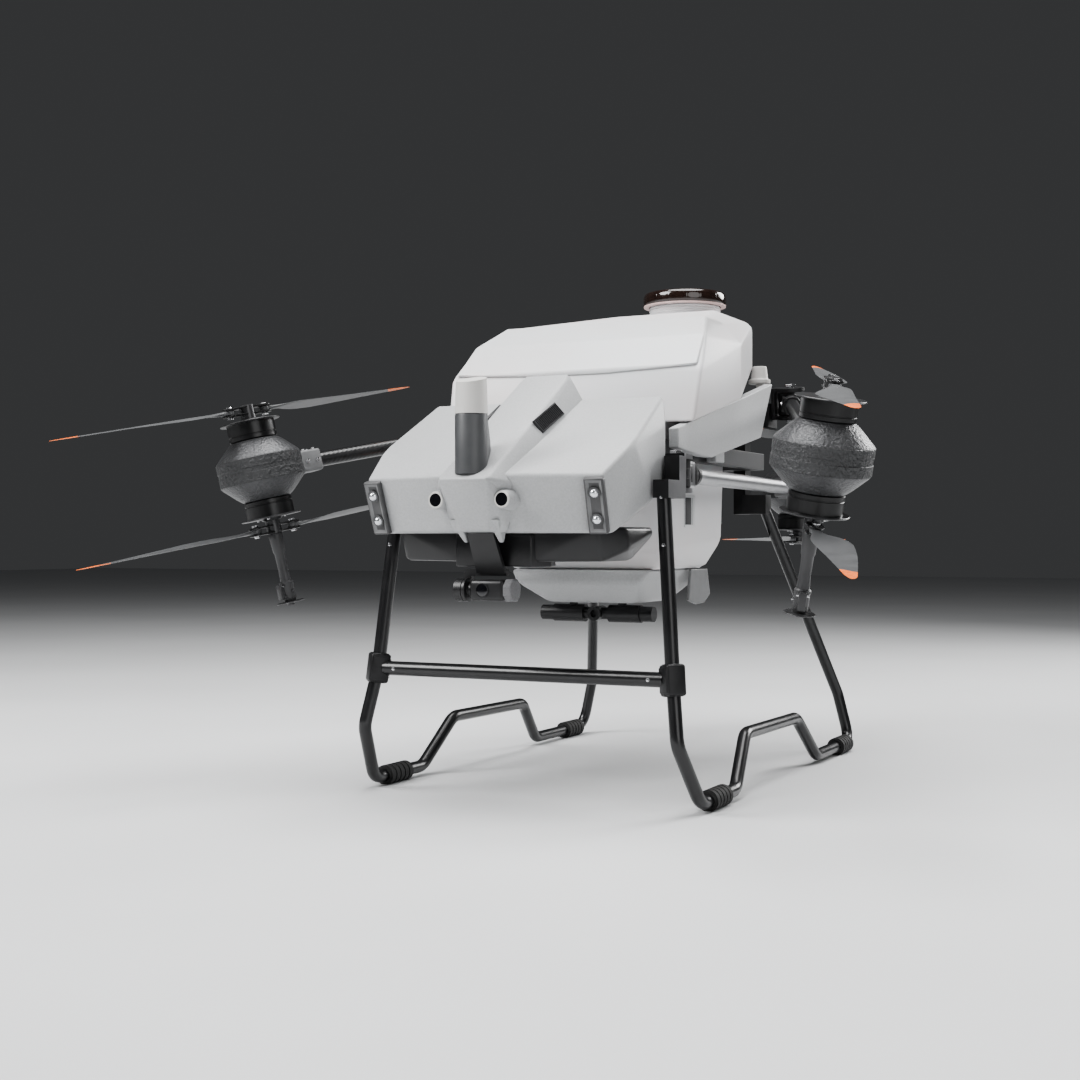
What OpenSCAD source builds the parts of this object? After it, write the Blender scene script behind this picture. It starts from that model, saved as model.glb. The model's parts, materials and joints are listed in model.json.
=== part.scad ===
// Folding agricultural spray drone: eight coaxial rotors on four folding arms, a
// liquid tank over a bent-tube landing gear, and a grey nose with lamps and camera.
// Millimetres. +Z is up, -Y is the nose. The origin lies on the ground, midway
// between the four feet. The arms are drawn part-folded: the two rear arms swung
// forward, the two front arms swung back along the body.

/* [Landing gear] */
// Half of the track between the skid tubes at the ground
foot_x = 275; // [250:1:330]
// Half of the distance between the front and rear feet
foot_y = 390; // [360:1:440]
// Diameter of the bent skid tube
skid_d = 20; // [16:0.5:22]
// Diameter of the straight upper front leg tube
leg_d = 21; // [18:0.5:24]
// Diameter of the crossbar between the front legs
crossbar_d = 22; // [18:0.5:26]
// Height of the crossbar axis above the ground
crossbar_z = 193; // [160:1:230]
// Outer diameter of the ribbed rubber skid pads
pad_d = 32; // [26:0.5:36]
// Length of one rubber skid pad
pad_len = 66; // [50:1:80]

/* [Airframe] */
// Height of the front arm hinges
front_hinge_z = 490; // [480:1:500]
// Height of the rear arm hinges
rear_hinge_z = 640; // [630:1:655]
// Rise of the tank deck from nose to tail, in degrees
deck_angle = 13.3; // [11:0.1:14]
// Thickness of a side beam
beam_t = 16; // [10:1:20]
// Wall of the moulded shells
shell_t = 4; // [3:0.5:5]

/* [Tank] */
// Width of the tank across its side faces
tank_w = 440; // [420:1:450]
// Wall of the tank
tank_wall = 5; // [3:0.5:8]
// Outer diameter of the filler neck
neck_d = 132; // [110:1:140]
// Inner diameter of the filler neck
neck_bore = 116; // [90:1:120]
// Outer diameter of the filler cap
cap_d = 154; // [146:1:170]
// Height of the filler cap
cap_h = 22; // [16:1:30]
// Height of the top of the filler neck
neck_top_z = 830; // [822:1:845]

/* [Arms] */
// Distance from an arm's hinge to the middle of its motor pod
arm_len = 752; // [740:1:780]
// Diameter of the arm tube
arm_d = 25; // [20:0.5:28]
// Diameter of the hinge pins
pin_d = 12; // [8:0.5:14]
// Diameter of the arm's hinge knuckle
knuckle_d = 46; // [40:1:50]
// Height of the arm's hinge knuckle
knuckle_h = 42; // [34:1:44]

/* [Motor pods] */
// Diameter of the cast pod barrel
pod_d = 138; // [120:1:150]
// Height of the straight part of the barrel
pod_h = 41; // [36:1:50]
// Height of each cone between barrel and motor
cone_h = 28; // [20:1:32]
// Outer diameter of a motor bell
bell_d = 77; // [60:1:90]
// Height of a motor bell
bell_h = 28; // [24:1:34]
// Diameter of the thin flange on a motor bell
flange_d = 97; // [90:1:104]
// Diameter of the fixed motor shaft
shaft_d = 16; // [10:1:18]

/* [Propellers] */
// Distance from the rotor axis to the blade tip
prop_r = 335; // [300:1:345]
// Distance from the rotor axis to a blade's fold bolt
fold_r = 32; // [30:1:38]
// Widest chord of a blade
blade_chord = 50; // [40:1:54]
// Thickness of a blade
blade_t = 3; // [2:0.5:4]
// Pitch of a blade at its middle, in degrees
blade_pitch = 7; // [4:1:9]
// Diameter of a fold bolt
fold_pin_d = 6; // [5:0.5:8]

/* [Spray nozzles] */
// Length of the nozzle rod under a pod
rod_len = 112; // [90:1:125]
// Diameter of the spinning spray disc
disc_d = 46; // [34:1:50]

/* [Clearances] */
// Radial play between a pin or shaft and its bore
run_clear = 0.05; // [0.02:0.01:0.1]
// Play between a tube and the sleeve that grips it
grip_clear = 0.1; // [0.05:0.05:0.2]
// Gap between faces that turn past each other
face_gap = 0.4; // [0.3:0.1:1]

/* [Hidden] */
$fn = 48;
small_fn = 24;
pod_names = ["front_left", "front_right", "rear_left", "rear_right"];
levels = ["upper", "lower"];

// Landing gear, right-hand side; the left is its mirror image.
foot_z = 15;
corner_proud = 3;
foot_front = [foot_x, -foot_y, foot_z];
foot_rear = [foot_x, foot_y, foot_z];
skid_low_front = [foot_x, -243, foot_z];
skid_top_front = [foot_x - 13, -162, 90];
skid_top_rear = [foot_x - 12, 97, 88];
skid_low_rear = [foot_x, 173, foot_z];
bend_front = [foot_x - 15, -foot_y - 51, 103];
bend_rear = [foot_x - 21, foot_y - 5, 103];
rear_leg_top = [163, 205, 466];
clamp_at = [foot_x - 29, -foot_y - 33, crossbar_z];
leg_top = [222, -399, 466];
leg_start = clamp_at + 13 * (leg_top - clamp_at) / norm(leg_top - clamp_at);
clamp_size = [30, 32, 46];
pad_front_y = -foot_y + 62;
pad_rear_y = foot_y - 62;

// Airframe
deck_y0 = -296;
deck_z0 = 560;
function deck(y) = deck_z0 + (y - deck_y0) * tan(deck_angle);
beam_x = 196;
rail_x = 170;
rail_w = 16;
rail_z = [516, 546];
front_hinge = [205, -312, front_hinge_z];
rear_hinge = [202, 260, rear_hinge_z];
lug_t = 7;
lug_d = knuckle_d + 6;
lug_gap = knuckle_h / 2 + face_gap;

// Each arm's rest pose: yaw, droop and roll of the arm tube, right-hand side.
// The front arm lies back along the body, level. The rear arm reaches forward.
front_pose = [0, 0, 93.4];
rear_pose = [-7.35, 10.35, -69.15];
// The rear hinge axis leans, so that the arm is level and its rotors upright when out.
rear_tilt = [9.8, 1.1, 0];

// Pods and rotors, along the pod's own axis
bell_z = pod_h / 2 + cone_h + face_gap;
flange_z = bell_z + bell_h;
flange_t = 2.5;
yoke_z = flange_z + flange_t + 11;
yoke_t = 3;
blade_eye_h = 7;
yoke_gap = blade_eye_h + 2 * face_gap;
yoke_top = yoke_z + 2 * yoke_t + yoke_gap;
blade_z = yoke_z + yoke_t + yoke_gap / 2;
pod_block = [46, 38, 36];
pod_block_x = -pod_d / 2 - pod_block[0] / 2 + 6;
arm_end = arm_len + pod_block_x - 4;
yoke_w = 24;

// Rest directions of the two blades of each rotor, in the pod's own frame (right side)
front_upper_blades = [-0.5, 180];
front_lower_blades = [3, 189];
rear_upper_blades = [0, 180];
rear_lower_blades = [-4, 191];
// The left side's rear pod, seen from its own mirrored frame, has its own angles
rear_left_upper_blades = [3, 180];
rear_left_lower_blades = [-5, 165];

// Nozzle rod, measured down from the pod middle
rod_top = -yoke_top - 1.5;
disc_z = rod_top - rod_len;
disc_t = 2;

// Filler
neck_at = [0, 250];
neck_base_z = 802;
cap_gap = 0.5;

dark = [0.12, 0.12, 0.13];
black = [0.05, 0.05, 0.055];
light = [0.72, 0.72, 0.71];
white = [0.86, 0.86, 0.86];
steel = [0.62, 0.62, 0.63];
orange = [0.95, 0.45, 0.2];

// ---- helpers ----

module both() {
    children();
    mirror([1, 0, 0]) children();
}

// A straight rod between two points
module rod(a, b, d) {
    v = b - a;
    translate(a)
        rotate([0, acos(v[2] / norm(v)), atan2(v[1], v[0])])
            cylinder(h = norm(v), d = d);
}

// A bent rod through a list of points. The round corners stand a little proud of it.
module bent_rod(points, d) {
    for (i = [0:len(points) - 2])
        rod(points[i], points[i + 1], d);
    for (i = [1:len(points) - 2])
        translate(points[i]) sphere(d = d + corner_proud);
}

// Turns a child so that its Z runs along a to b, with its origin at a
module along(a, b) {
    v = b - a;
    translate(a) rotate([0, acos(v[2] / norm(v)), atan2(v[1], v[0])]) children();
}

// A convex solid through a list of corner points
module solid(points) {
    hull()
        for (p = points)
            translate(p) cube(0.02, center = true);
}

// Both halves of a list of right-hand corner points
function mirrored(points) = concat(points, [for (p = points) [-p[0], p[1], p[2]]]);

// A box given by its lowest and highest corners
module box(a, b) {
    translate(a) cube(b - a);
}

// A flat outline in the Y-Z plane, with its thickness along X from x0
module side_plate(x0, t, outline) {
    translate([x0, 0, 0]) rotate([90, 0, 90]) linear_extrude(t) polygon(outline);
}

// ---- landing gear ----

module skids() {
    color(black) both()
        bent_rod([clamp_at + [0.5, -0.5, -4], bend_front, foot_front, skid_low_front,
                  skid_top_front, skid_top_rear, skid_low_rear, foot_rear, bend_rear,
                  rear_leg_top], skid_d);
}

module pad(y) {
    rib = 2;
    pitch = pad_len / 5;
    difference() {
        union() {
            translate([foot_x, y - pad_len / 2, foot_z]) rotate([-90, 0, 0])
                cylinder(h = pad_len, d = pad_d - 2 * rib);
            for (i = [0:4])
                translate([foot_x, y - pad_len / 2 + (i + 0.12) * pitch, foot_z])
                    rotate([-90, 0, 0]) cylinder(h = pitch * 0.76, d = pad_d);
        }
        translate([foot_x, y - pad_len, foot_z]) rotate([-90, 0, 0])
            cylinder(h = 2 * pad_len, d = skid_d + 2 * grip_clear);
        box([foot_x - pad_d, y - pad_len, -pad_d], [foot_x + pad_d, y + pad_len, 0]);
    }
}

module skid_pads() {
    color(dark) both() {
        pad(pad_front_y);
        pad(pad_rear_y);
    }
}

module leg_clamps() {
    axis = leg_top - clamp_at;
    up = clamp_at + axis / norm(axis);
    color(black) both()
        difference() {
            along(clamp_at, up) translate([0, 0, -clamp_size[2] / 2]) linear_extrude(clamp_size[2])
                square([clamp_size[0], clamp_size[1]], center = true);
            rod(clamp_at - axis, clamp_at + axis, leg_d + 2 * grip_clear);
            rod(clamp_at, clamp_at + (bend_front - clamp_at) * 2, skid_d + 2 * grip_clear + 4);
            rod(clamp_at, [0, clamp_at[1], clamp_at[2]], crossbar_d + 2 * grip_clear);
        }
}

module front_legs() {
    color(black) {
        both() rod(leg_start, leg_top, leg_d);
        rod([-clamp_at[0] + leg_d / 2 + 2, clamp_at[1], clamp_at[2]],
            [clamp_at[0] - leg_d / 2 - 2, clamp_at[1], clamp_at[2]], crossbar_d);
    }
}

// ---- airframe ----

module centre_frame() {
    color(dark) difference() {
        union() {
            both() box([rail_x - rail_w, -424, rail_z[0]], [rail_x, 206, rail_z[1]]);
            box([-rail_x, -424, 474], [rail_x, -352, rail_z[1]]);
            box([-rail_x, 176, rail_z[0]], [rail_x, 206, rail_z[1]]);
        }
        box([-rail_x + 12, -414, 470], [rail_x - 12, -362, rail_z[1] - 8]);
    }
}

module side_beams() {
    outline = [[-296, deck(-296)], [150, deck(150)], [88, 567], [-150, 522], [-190, 522],
               [-296, 530]];
    color(light) both() {
        side_plate(beam_x - beam_t / 2, beam_t, outline);
        box([rail_x + 0.2, -90, rail_z[0] + 2], [beam_x - beam_t / 2 - 0.2, -50, rail_z[1] - 2]);
    }
}

module rear_frame() {
    hinge_top = rear_hinge_z + lug_gap + lug_t;
    color(black) {
        difference() {
            union() {
                box([-168, 236, 596], [168, 286, 640]);
                both() box([112, 206, 438], [134, 236, 640]);
            }
            box([-110, 240, 600], [110, 290, 636]);
        }
        both() difference() {
            box([134, 190, 438], [178, 220, 472]);
            rod(bend_rear, rear_leg_top + (rear_leg_top - bend_rear) * 0.1, skid_d + 2 * grip_clear);
        }
    }
}

// The four hinge forks. The pin's play is in the knuckle, so the lugs grip the pin.
module fork(tilt) {
    rotate(tilt) difference() {
        for (s = [-1, 1]) translate([0, 0, s * (lug_gap + lug_t / 2)])
            union() {
                cylinder(h = lug_t, d = lug_d, center = true);
                children(0);
            }
        cylinder(h = 200, d = pin_d + 2 * grip_clear, center = true);
    }
}

module front_fork() {
    reach = lug_d / 2 + 2;
    translate(front_hinge) fork([0, 0, 0])
        translate([-15, -13, 0]) cube([30, 30, lug_t], center = true);
    wall_h = 2 * (lug_gap + lug_t);
    translate([front_hinge[0] - 34, front_hinge[1] - reach - 6, front_hinge[2] - wall_h / 2])
        cube([62, 8, wall_h]);
    translate([front_hinge[0] - 34, front_hinge[1] - reach, front_hinge[2] - wall_h / 2])
        cube([7, 30, wall_h]);
    // socket that takes the top of the front leg
    difference() {
        box([211, front_hinge[1] - reach - 72, 452], [235, front_hinge[1] - reach - 5.8, 478]);
        rod(clamp_at, leg_top, leg_d + 2 * grip_clear);
    }
    box([211, front_hinge[1] - reach - 30, 470], [235, front_hinge[1] - reach - 5.8, 514]);
}

module rear_fork() {
    wall_h = 2 * (lug_gap + lug_t);
    translate(rear_hinge) {
        fork(rear_tilt) translate([-14, 2, 0]) cube([28, 34, lug_t], center = true);
        rotate(rear_tilt) translate([-32, -15, -wall_h / 2]) cube([7, 34, wall_h]);
    }
}

module arm_hinges() {
    color(black) both() {
        front_fork();
        difference() {
            rear_fork();
            box([0, 234, 594], [168.2, 290, 640.2]);
        }
    }
}

module pin(at, tilt) {
    h = 2 * (lug_gap + lug_t) + 6;
    translate(at) rotate(tilt) {
        translate([0, 0, -h / 2]) cylinder(h = h, d = pin_d);
        for (s = [-1, 1]) translate([0, 0, s * (h / 2 + 1)])
            cylinder(h = 5, d = pin_d + 8, $fn = 6, center = true);
    }
}

module hinge_pins() {
    color(steel) both() {
        pin(front_hinge, [0, 0, 0]);
        pin(rear_hinge, rear_tilt);
    }
}

// ---- tank ----

// Right-hand corners of the tank's body; `w` draws them in for the inner wall.
function tank_upper(w) = let (x = tank_w / 2 - w) mirrored([
    [x - 4, -262 + w, deck(-262) + 3 + w], [x, -240 + w, 655], [x - 14, -186 + w, 712 - w],
    [x - 40, -118 + w, 751 - w], [x, -60, deck(-60) + 3 + w], [x, -60, 711 - w],
    [x - 34, -50, 748 - w], [x - 90, 176, deck(176) + 3 + w], [x - 90, 176, 770 - w],
    [x - 120, 344 - w, deck(344) + 3 + w], [x - 120, 344 - w, 790 - w],
    [96 - w, 344 - w, neck_base_z - w], [96 - w, 150, neck_base_z - w]]);

function tank_lower(w) = mirrored([
    [150 - w, -216 + w, deck(-216) + 30], [150 - w, -206 + w, 372],
    [128 - w, -200 + w, 344 + w], [150 - w, 66 - w, deck(66) + 30],
    [150 - w, 40 - w, 390], [128 - w, 16 - w, 344 + w]]);

module tank() {
    color(white) difference() {
        union() {
            solid(tank_upper(0));
            solid(tank_lower(0));
            translate([neck_at[0], neck_at[1], neck_base_z - 12])
                cylinder(h = neck_top_z - neck_base_z + 12, d = neck_d);
        }
        solid(tank_upper(tank_wall));
        solid(tank_lower(tank_wall));
        translate([neck_at[0], neck_at[1], neck_base_z - 40])
            cylinder(h = 200, d = neck_bore);
    }
}

module fill_cap() {
    translate([neck_at[0], neck_at[1], neck_top_z]) color(black) {
        difference() {
            translate([0, 0, 1 - 6]) cylinder(h = cap_h + 4, d = cap_d);
            translate([0, 0, -10]) cylinder(h = 10 + cap_gap, d = neck_d + 2 * cap_gap);
            translate([0, 0, cap_h - 6]) cylinder(h = 10, d = cap_d - 30);
        }
        translate([0, 0, cap_h - 6.01]) cube([cap_d - 40, 9, 8], center = true);
    }
}

module sump() {
    top = 344 - 0.3;
    color(light) difference() {
        solid(mirrored([[124, -214, top], [124, 4, top], [110, -222, 322], [110, 0, 318],
                        [78, -168, 289], [78, -20, 289]]));
        solid(mirrored([[104, -196, top + 5], [104, -14, top + 5], [92, -200, 326], [92, -16, 324]]));
    }
}

module sump_guard() {
    color(dark) both()
        side_plate(128.2, 5, [[16, 343], [30, 300], [2, 286], [-36, 284], [-70, 292], [-60, 343]]);
}

module pumps() {
    y = -140;
    z = 271;
    color(black) {
        difference() {
            union() {
                both() {
                    translate([22, y, z]) rotate([0, 90, 0]) cylinder(h = 56, d = 29);
                    translate([78, y, z]) rotate([0, 90, 0]) cylinder(h = 22, d = 25);
                    translate([44, y, z + 12]) cylinder(h = 5.8, d = 14);
                }
                translate([-24, y, z]) rotate([0, 90, 0]) cylinder(h = 48, d = 20);
                translate([0, y - 17, z]) rotate([-90, 0, 0]) cylinder(h = 34, d = 24);
            }
            translate([0, y - 18, z]) rotate([-90, 0, 0]) cylinder(h = 8, d = 12);
        }
    }
}

module battery() {
    color(dark) {
        box([-92, 76, 420], [92, 204, 512]);
        box([-70, 204, 440], [70, 214, 500]);
    }
}

// ---- nose ----

function nose_wing(w) = mirrored([
    [190 - w, -540 + w, 481 - w], [192 - w, -512 + w, 401 - w], [206 - w, -469, 528 - w],
    [206 - w, -400, 450], [206 - w, -352, 466], [206 - w, -352, 560 - w],
    [194 - w, -328, 606 - w], [80, -328, 594 - w], [60, -562 + w, 483 - w], [60, -536 + w, 402 - w],
    [120, -352, 402 - w], [194 - w, -328, 536], [80, -328, 470]]);

module nose_shell() {
    spine = mirrored([[39, -592, 477], [38, -327, 646], [66, -550, 470], [72, -327, 588],
                      [39, -560, 440]]);
    beak = mirrored([[39, -592, 477], [22, -555, 404], [56, -540, 440], [44, -540, 402],
                     [39, -540, 500]]);
    color(light) difference() {
        union() {
            difference() {
                solid(nose_wing(0));
                solid(nose_wing(shell_t));
            }
            difference() {
                union() {
                    solid(spine);
                    solid(beak);
                }
                solid(nose_wing(shell_t));
            }
            // the two fangs under the beak
            both() solid([[22, -562, 420], [40, -562, 420], [24, -530, 420], [40, -530, 420],
                          [26, -532, 388], [31, -532, 388], [26, -526, 388], [31, -526, 388]]);
            both() translate([53, -548, 448]) rotate([90, 0, 0]) cylinder(h = 26, d1 = 30, d2 = 21);
        }
        // open underside and back
        box([-186, -504, 380], [186, -300, 430]);
        box([-198, -346, 472], [198, -320, 588]);
        box([-210, -350, 440], [210, -300, 530]);
        box([-184, -500, 420], [184, -345, 520]);
        both() translate([53, -568, 448]) rotate([90, 0, 0]) cylinder(h = 8, d = 17);
        // pockets for the lamps
        both() lamp_frame() translate([-15, -30, -41]) cube([30, 34, 82]);
        // hole for the mast
        translate([0, -566, 440]) cylinder(h = 200, d = 47);
    }
}

// Places a child on the lamp's face: its Z runs up the face and -Y is outward
module lamp_frame() {
    translate([177, -528, 440]) rotate([19, 0, 6]) children();
}

module lamp_housings() {
    color(dark) both() lamp_frame() difference() {
        translate([-14.6, -9, -40.6]) cube([29.2, 12.6, 81.2]);
        translate([-10, -9.5, -36]) cube([20, 3, 72]);
        for (s = [-1, 1]) translate([0, -7, s * 19]) rotate([90, 0, 0]) sphere(d = 14);
    }
}

module clear_lenses() {
    color(steel) both() {
        lamp_frame() for (s = [-1, 1]) translate([0, -6.9, s * 19]) intersection() {
            sphere(d = 13.6);
            translate([0, 0, 0]) cube([20, 13, 20], center = true);
        }
        translate([53, -568.2, 448]) rotate([90, 0, 0]) cylinder(h = 3.5, d = 16.6);
    }
}

module mast() {
    at = [0, -566];
    color(dark) translate([at[0], at[1], 462]) cylinder(h = 106, d = 46.4);
    color(light) translate([at[0], at[1], 568.3]) difference() {
        cylinder(h = 56, d1 = 46.4, d2 = 43);
        translate([0, 0, 62]) rotate([14, 0, 0]) cube([80, 80, 20], center = true);
        translate([0, 0, -1]) cylinder(h = 30, d = 38);
    }
}

module nose_tray() {
    color(black) difference() {
        solid(mirrored([[160, -493, 410], [161, -477, 361], [188, -440, 378], [186, -452, 410],
                        [186, -352, 398], [62, -499, 352], [62, -500, 398], [150, -352, 361],
                        [188, -352, 410]]));
        box([-150, -470, 370], [150, -356, 420]);
    }
}

// ---- camera ----

cam_at = [0, -520, 320];
cam_d = 35;

module camera_bracket() {
    color(black) {
        difference() {
            solid(mirrored([[21, -541, 401], [21, -534, 401], [23, -510, 344], [23, -502, 344]]));
            translate(cam_at - [60, 0, 0]) rotate([0, 90, 0]) cylinder(h = 120, d = cam_d + 4);
        }
        translate([-47, cam_at[1], cam_at[2]]) rotate([0, 90, 0]) cylinder(h = 12, d = cam_d - 1);
        translate([-36, cam_at[1], cam_at[2]]) rotate([0, 90, 0]) cylinder(h = 14, d = 8);
        box([-47, -504, 318], [-35, -494, 350]);
        box([-47, -504, 340], [23, -496, 350]);
    }
}

module camera_head() {
    color(black) difference() {
        translate([-34.4, cam_at[1], cam_at[2]]) rotate([0, 90, 0])
            cylinder(h = 81.4, d = cam_d);
        translate([-40, cam_at[1], cam_at[2]]) rotate([0, 90, 0])
            cylinder(h = 19, d = 8 + 2 * run_clear);
        translate([0, cam_at[1] - cam_d / 2 - 1, cam_at[2]]) rotate([-90, 0, 0])
            cylinder(h = 8, d = 16);
    }
}

module camera_lens() {
    color(steel) translate([0, cam_at[1] - cam_d / 2 + 2.4, cam_at[2]]) rotate([-90, 0, 0])
        cylinder(h = 4.5, d = 16 - 2 * run_clear);
}

module antennas() {
    color(light) both() translate([140, 268, 0]) {
        translate([0, 0, 640.3]) cylinder(h = 38, d = 12);
        translate([0, 0, 678.3]) cylinder(h = 8, d = 40);
        translate([0, 0, 686.3]) cylinder(h = 24, d1 = 32, d2 = 26);
    }
}

// ---- arms ----

// Places a child in an arm's own frame at rest: X along the tube from the hinge
module in_front_arm() {
    translate(front_hinge) rotate(front_pose) children();
}

module in_rear_arm() {
    translate(rear_hinge) rotate(rear_pose) children();
}

module knuckle(tilt) {
    rotate(tilt) translate([0, 0, -knuckle_h / 2]) cylinder(h = knuckle_h, d = knuckle_d);
}

module arm(pose, tilt) {
    difference() {
        union() {
            knuckle(tilt);
            rotate(pose) {
                translate([12, 0, 0]) rotate([0, 90, 0]) cylinder(h = arm_end - 12, d = arm_d);
                translate([20, 0, 0]) rotate([0, 90, 0]) cylinder(h = 32, d = arm_d + 9);
            }
        }
        rotate(tilt) cylinder(h = 200, d = pin_d + 2 * run_clear, center = true);
    }
}

module front_arm() {
    color(steel) translate(front_hinge) arm(front_pose, [0, 0, 0]);
}

module rear_arm() {
    color(black) translate(rear_hinge) arm(rear_pose, rear_tilt);
}

// The cast pod: barrel, cones, both motor shafts and the block that grips the arm
module pod() {
    h = pod_h / 2;
    color(dark) difference() {
        union() {
            translate([0, 0, -h]) cylinder(h = pod_h, d = pod_d);
            for (s = [0, 180]) rotate([s, 0, 0]) {
                translate([0, 0, h]) cylinder(h = cone_h, d1 = pod_d, d2 = bell_d + 1);
                translate([0, 0, h]) cylinder(h = flange_z - h + 8, d = shaft_d);
            }
            translate([pod_block_x, 0, 0]) cube(pod_block, center = true);
        }
        translate([pod_block_x - pod_block[0], 0, 0]) rotate([0, 90, 0])
            cylinder(h = pod_block[0] * 1.5 - 3, d = arm_d + 2 * grip_clear);
    }
}

// One motor's bell with its flange, hub and the two yoke plates that hold the blades
module rotor(angles) {
    color(black) difference() {
        union() {
            translate([0, 0, bell_z]) cylinder(h = bell_h, d = bell_d);
            translate([0, 0, flange_z]) cylinder(h = flange_t, d = flange_d);
            translate([0, 0, flange_z]) cylinder(h = yoke_top + 1.2 - flange_z, d = yoke_w + 2);
            for (a = angles) rotate([0, 0, a]) {
                for (z = [yoke_z, yoke_z + yoke_t + yoke_gap]) {
                    translate([0, 2 - yoke_w / 2, z]) cube([fold_r, yoke_w - 4, yoke_t]);
                    translate([fold_r, 0, z]) cylinder(h = yoke_t, d = yoke_w);
                }
                translate([fold_r, 0, yoke_z - 2]) cylinder(h = yoke_top - yoke_z + 4, d = fold_pin_d);
                translate([fold_r, 0, yoke_top]) cylinder(h = 4, d = fold_pin_d + 5, $fn = 6);
                translate([fold_r, 0, yoke_z - 4]) cylinder(h = 4, d = fold_pin_d + 5, $fn = 6);
            }
        }
        translate([0, 0, bell_z - 1]) cylinder(h = flange_z - bell_z + 10, d = shaft_d + 2 * run_clear);
    }
}

// One folding blade: a round eye at the bolt and a flat tapered blade out to the tip
module blade(angle) {
    root = 8;
    len = prop_r - fold_r;
    rotate([0, 0, angle]) translate([fold_r, 0, blade_z]) color(dark) difference() {
        union() {
            translate([0, 0, -blade_eye_h / 2]) cylinder(h = blade_eye_h, d = 2 * root + 1);
            translate([0, -root, -blade_eye_h / 2 + 1]) cube([34, 2 * root, blade_eye_h - 2]);
            rotate([blade_pitch, 0, 0]) translate([0, 0, -blade_t / 2]) linear_extrude(blade_t)
                polygon([[20, root], [60, blade_chord * 0.30], [len - 12, 6], [len, 1],
                         [len - 2, -5], [len * 0.6, -blade_chord * 0.52],
                         [len * 0.36, -blade_chord * 0.68], [len * 0.2, -blade_chord * 0.52],
                         [20, -root]]);
        }
        cylinder(h = 40, d = fold_pin_d + 2 * run_clear, center = true);
    }
}

// Places a child at a level of the pod: the lower rotor hangs upside down
module at_level(level) {
    if (level == "upper") children();
    else rotate([180, 0, 0]) children();
}

// Places a child in one pod's frame at rest
module in_pod(name) {
    if (name == "front_right") in_front_arm() translate([arm_len, 0, 0]) children();
    if (name == "rear_right") in_rear_arm() translate([arm_len, 0, 0]) children();
    if (name == "front_left") mirror([1, 0, 0]) in_front_arm() translate([arm_len, 0, 0]) children();
    if (name == "rear_left") mirror([1, 0, 0]) in_rear_arm() translate([arm_len, 0, 0]) children();
}

function blade_angles(name, level) =
    name == "rear_left" ? (level == "upper" ? rear_left_upper_blades : rear_left_lower_blades)
    : name == "rear_right" ? (level == "upper" ? rear_upper_blades : rear_lower_blades)
    : (level == "upper" ? front_upper_blades : front_lower_blades);

// ---- nozzles ----

module nozzle_rod() {
    color(dark) {
        translate([0, 0, rod_top - 30]) cylinder(h = 30, d1 = 20, d2 = 24);
        translate([0, 0, rod_top - 84]) cylinder(h = 54, d = 17);
        translate([0, 0, disc_z + 0.4]) cylinder(h = rod_len - 84 - 0.4, d = 24);
        translate([14, 0, disc_z + 18]) cube([10, 12, 30], center = true);
    }
}

module spray_disc() {
    color(dark) translate([0, 0, disc_z - disc_t]) {
        cylinder(h = disc_t, d = disc_d);
        translate([0, 0, -4]) cylinder(h = 4, d = 12);
    }
}

// ---- the parts ----

centre_frame();
side_beams();
rear_frame();
tank();
sump();
sump_guard();
nose_shell();
nose_tray();
clear_lenses();
lamp_housings();
mast();
camera_bracket();
camera_head();
camera_lens();
arm_hinges();
hinge_pins();
front_legs();
leg_clamps();
skids();
skid_pads();
pumps();
battery();
antennas();
fill_cap();
in_pod("rear_left") nozzle_rod();  // nozzle_rod_left
in_pod("rear_right") nozzle_rod();  // nozzle_rod_right
in_pod("rear_left") spray_disc();  // spray_disc_left
in_pod("rear_right") spray_disc();  // spray_disc_right
mirror([1, 0, 0]) front_arm();  // arm_front_left
front_arm();  // arm_front_right
mirror([1, 0, 0]) rear_arm();  // arm_rear_left
rear_arm();  // arm_rear_right
for (p = pod_names) {
    in_pod(p) pod();
    for (l = levels) {
        in_pod(p) at_level(l) rotor(blade_angles(p, l));
        for (i = [1, 2])
            in_pod(p) at_level(l) blade(blade_angles(p, l)[i - 1]);
    }
}
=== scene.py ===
import json
import math
import bpy
import bmesh
from mathutils import Matrix, Vector

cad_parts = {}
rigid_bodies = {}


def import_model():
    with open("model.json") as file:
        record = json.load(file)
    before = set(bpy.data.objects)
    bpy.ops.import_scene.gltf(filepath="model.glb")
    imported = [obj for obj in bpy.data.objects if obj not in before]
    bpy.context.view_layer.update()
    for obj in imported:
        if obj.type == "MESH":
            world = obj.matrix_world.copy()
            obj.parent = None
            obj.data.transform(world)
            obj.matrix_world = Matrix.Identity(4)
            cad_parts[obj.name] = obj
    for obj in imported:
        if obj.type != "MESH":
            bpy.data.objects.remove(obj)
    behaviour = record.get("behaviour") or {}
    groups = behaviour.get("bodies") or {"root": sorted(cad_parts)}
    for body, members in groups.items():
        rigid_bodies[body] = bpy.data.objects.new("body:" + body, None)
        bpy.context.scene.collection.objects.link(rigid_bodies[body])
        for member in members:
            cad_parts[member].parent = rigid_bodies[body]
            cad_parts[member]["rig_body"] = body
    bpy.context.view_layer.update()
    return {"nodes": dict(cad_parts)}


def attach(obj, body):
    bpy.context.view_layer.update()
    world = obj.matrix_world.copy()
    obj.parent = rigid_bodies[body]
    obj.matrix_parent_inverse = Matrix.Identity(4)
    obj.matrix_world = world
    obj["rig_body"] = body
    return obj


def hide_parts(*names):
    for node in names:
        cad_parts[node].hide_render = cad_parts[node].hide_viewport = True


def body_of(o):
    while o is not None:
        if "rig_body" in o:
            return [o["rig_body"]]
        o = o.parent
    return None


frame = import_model()
scene = bpy.context.scene

# ---------------------------------------------------------------- camera, floor, light

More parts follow.
